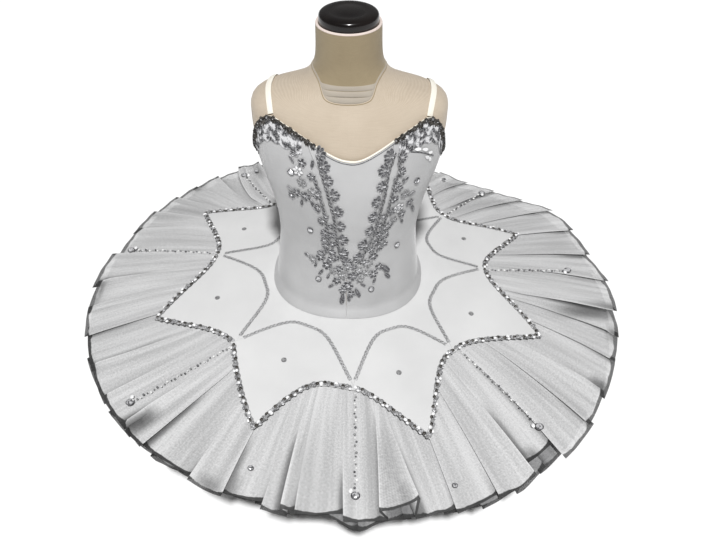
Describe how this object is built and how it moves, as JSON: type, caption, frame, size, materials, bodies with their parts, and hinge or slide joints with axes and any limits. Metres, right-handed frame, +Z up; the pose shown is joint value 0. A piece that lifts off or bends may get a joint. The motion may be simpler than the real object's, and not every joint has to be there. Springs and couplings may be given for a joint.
{
  "type": "ballet tutu on a limbless dress form",
  "caption": "Child's classical tutu: satin bodice with braid and lace, scalloped hip plate and stiff pleated net skirt, worn by a limbless dress form with a flat base.",
  "frame": {"origin": "bottom centre of the bounding box, which is the centre of the form's flat base", "axes": "+Z up through the neck, -Y toward the front of the garment, +X toward its wearer's left"},
  "size_m": [0.848, 0.8261, 0.5743],
  "materials": {
    "linen": "matte beige linen stretched over the form",
    "neck_linen": "matte darker linen",
    "black_lacquer": "glossy black-brown lacquer",
    "pale_satin": "pale silver-grey satin",
    "grey_satin": "silver-grey satin",
    "ivory_binding": "ivory bias binding and elastic",
    "silver_lace": "open silver lace with metallic thread",
    "silver_braid": "scalloped metallic braid and cord",
    "band_cloth": "plain white cotton",
    "plate_satin": "near-white stiffened satin",
    "stiff_net": "stiff open net, translucent"
  },
  "bodies": {
    "root": {"armhole_binding_left": "ivory_binding", "armhole_binding_right": "ivory_binding", "back_binding": "ivory_binding", "bodice_back_left": "grey_satin", "bodice_back_right": "grey_satin", "bodice_centre_front": "pale_satin", "bodice_side_front_left": "grey_satin", "bodice_side_front_right": "grey_satin", "braid_inner_left": "silver_braid", "braid_inner_right": "silver_braid", "braid_outer_left": "silver_braid", "braid_outer_right": "silver_braid", "cup_lace_left": "silver_lace", "cup_lace_right": "silver_lace", "form_neck": "neck_linen", "form_neck_cap": "black_lacquer", "form_torso": "linen", "hip_band_back": "band_cloth", "hip_band_front": "band_cloth", "lace_motif_bust_left": "silver_lace", "lace_motif_bust_right": "silver_lace", "lace_motif_centre": "silver_lace", "lace_motif_low_left": "silver_lace", "lace_motif_low_right": "silver_lace", "neckline_binding": "ivory_binding", "net_row_1": "stiff_net", "net_row_2": "stiff_net", "net_row_3": "stiff_net", "net_row_4": "stiff_net", "petal_braid_1": "silver_braid", "petal_braid_2": "silver_braid", "petal_braid_3": "silver_braid", "petal_braid_4": "silver_braid", "petal_braid_5": "silver_braid", "petal_braid_6": "silver_braid", "petal_braid_7": "silver_braid", "petal_braid_8": "silver_braid", "petal_cord_1": "silver_braid", "petal_cord_2": "silver_braid", "petal_cord_3": "silver_braid", "petal_cord_4": "silver_braid", "petal_cord_5": "silver_braid", "petal_cord_6": "silver_braid", "petal_cord_7": "silver_braid", "petal_cord_8": "silver_braid", "plate_petal_1": "plate_satin", "plate_petal_2": "plate_satin", "plate_petal_3": "plate_satin", "plate_petal_4": "plate_satin", "plate_petal_5": "plate_satin", "plate_petal_6": "plate_satin", "plate_petal_7": "plate_satin", "plate_petal_8": "plate_satin", "plate_yoke": "plate_satin", "strap_left": "ivory_binding", "strap_right": "ivory_binding"}
  },
  "joints": []
}
